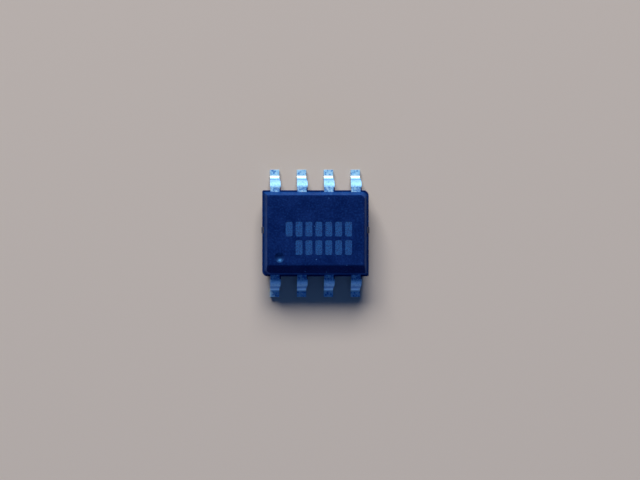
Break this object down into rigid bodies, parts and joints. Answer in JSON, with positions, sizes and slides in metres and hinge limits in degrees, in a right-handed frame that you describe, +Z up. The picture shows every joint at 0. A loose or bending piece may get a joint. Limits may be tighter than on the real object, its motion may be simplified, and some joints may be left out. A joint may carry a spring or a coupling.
{
  "type": "switching regulator",
  "caption": "Switching regulator chip in a small-outline plastic package: dark moulded body with a chamfered edge and a round lead mark, two rows of tinned gull-wing leads.",
  "frame": {"origin": "middle of the chip on the plane that its eight feet stand on", "axes": "+X along the body from lead 1 towards lead 4, +Y across it towards leads 5 to 8, +Z up from the board"},
  "size_m": [0.005, 0.006, 0.0017],
  "materials": {
    "mould_resin": "matte",
    "tin_plate": "satin",
    "silicon": "polished",
    "die_paste": "matte",
    "copper_wire": "satin",
    "gold_wire": "polished"
  },
  "bodies": {
    "root": {"mould_body": "mould_resin", "lead_1_power_ground": "tin_plate", "lead_2_input": "tin_plate", "lead_4_feedback": "tin_plate", "lead_5_compensation": "tin_plate", "lead_6_enable": "tin_plate", "controller_paddle_with_lead_3": "tin_plate", "switch_paddle_with_leads_7_8": "tin_plate", "low_side_die": "silicon", "high_side_die": "silicon", "controller_die": "silicon", "low_side_die_attach": "die_paste", "high_side_die_attach": "die_paste", "controller_die_attach": "die_paste", "ground_wires": "copper_wire", "input_wires": "copper_wire", "feedback_wire": "gold_wire", "compensation_wire": "gold_wire", "enable_wire": "gold_wire", "controller_ground_wire": "gold_wire", "controller_supply_wire": "gold_wire", "high_side_gate_wire": "gold_wire", "low_side_gate_wire": "gold_wire", "switch_sense_wire": "gold_wire"}
  },
  "joints": []
}
